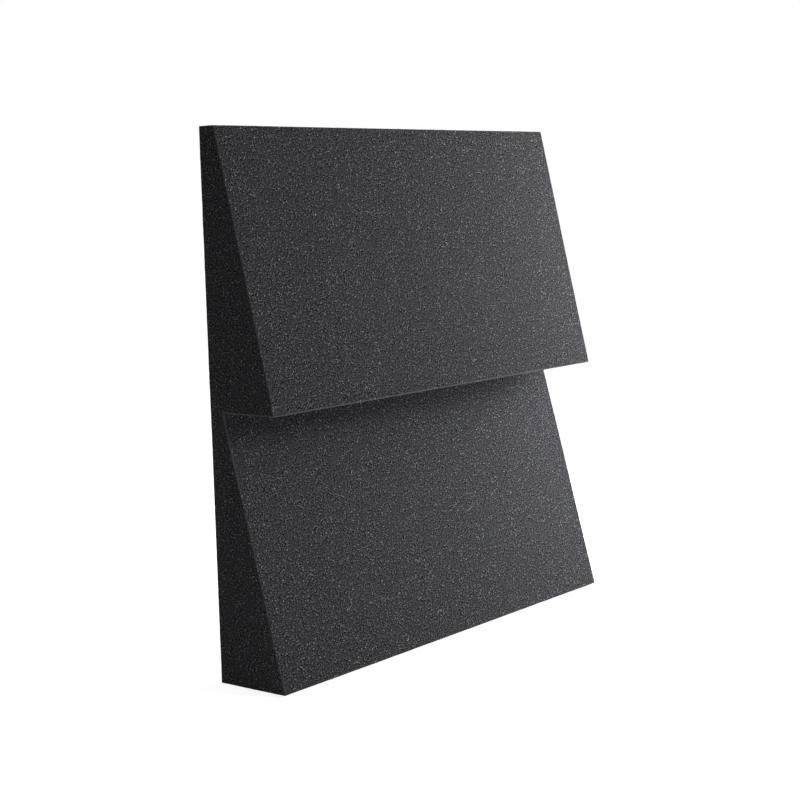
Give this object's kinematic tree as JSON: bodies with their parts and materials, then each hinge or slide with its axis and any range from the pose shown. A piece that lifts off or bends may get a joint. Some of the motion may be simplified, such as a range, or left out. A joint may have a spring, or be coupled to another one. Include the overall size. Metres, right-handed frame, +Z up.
{
  "type": "acoustic foam panel",
  "caption": "Square acoustic foam wall tile with a saw-tooth ridged face and self-adhesive back pads under peel-off liners.",
  "frame": {"origin": "centre of the panel in the plane of the wall, which is the outer face of the release liners", "axes": "+Z up, towards the thin upper edge; +Y into the wall; the teeth face -Y; +X to the right as seen from the front"},
  "size_m": [0.305, 0.0491, 0.305],
  "materials": {
    "charcoal_foam": "matte",
    "white_foam_tape": "matte",
    "liner_paper": "satin"
  },
  "bodies": {
    "panel": {"foam_panel": "charcoal_foam", "adhesive_pad_top_left": "white_foam_tape", "adhesive_pad_top_right": "white_foam_tape", "adhesive_pad_bottom_left": "white_foam_tape", "adhesive_pad_bottom_right": "white_foam_tape", "adhesive_pad_centre": "white_foam_tape"},
    "liner_top_left": {"release_liner_top_left": "liner_paper"},
    "liner_top_right": {"release_liner_top_right": "liner_paper"},
    "liner_bottom_left": {"release_liner_bottom_left": "liner_paper"},
    "liner_bottom_right": {"release_liner_bottom_right": "liner_paper"},
    "liner_centre": {"release_liner_centre": "liner_paper"}
  },
  "joints": [
    {"name": "peel_top_left", "type": "hinge", "parent": "panel", "child": "liner_top_left", "pos_m": [-0.1125, -0.0003, 0.128], "axis": [1, 0, 0], "range_deg": [0, 150]},
    {"name": "peel_top_right", "type": "hinge", "parent": "panel", "child": "liner_top_right", "pos_m": [0.1125, -0.0003, 0.128], "axis": [1, 0, 0], "range_deg": [0, 150]},
    {"name": "peel_bottom_left", "type": "hinge", "parent": "panel", "child": "liner_bottom_left", "pos_m": [-0.1125, -0.0003, -0.097], "axis": [1, 0, 0], "range_deg": [0, 150]},
    {"name": "peel_bottom_right", "type": "hinge", "parent": "panel", "child": "liner_bottom_right", "pos_m": [0.1125, -0.0003, -0.097], "axis": [1, 0, 0], "range_deg": [0, 150]},
    {"name": "peel_centre", "type": "hinge", "parent": "panel", "child": "liner_centre", "pos_m": [0, -0.0003, 0.0155], "axis": [1, 0, 0], "range_deg": [0, 150]}
  ]
}
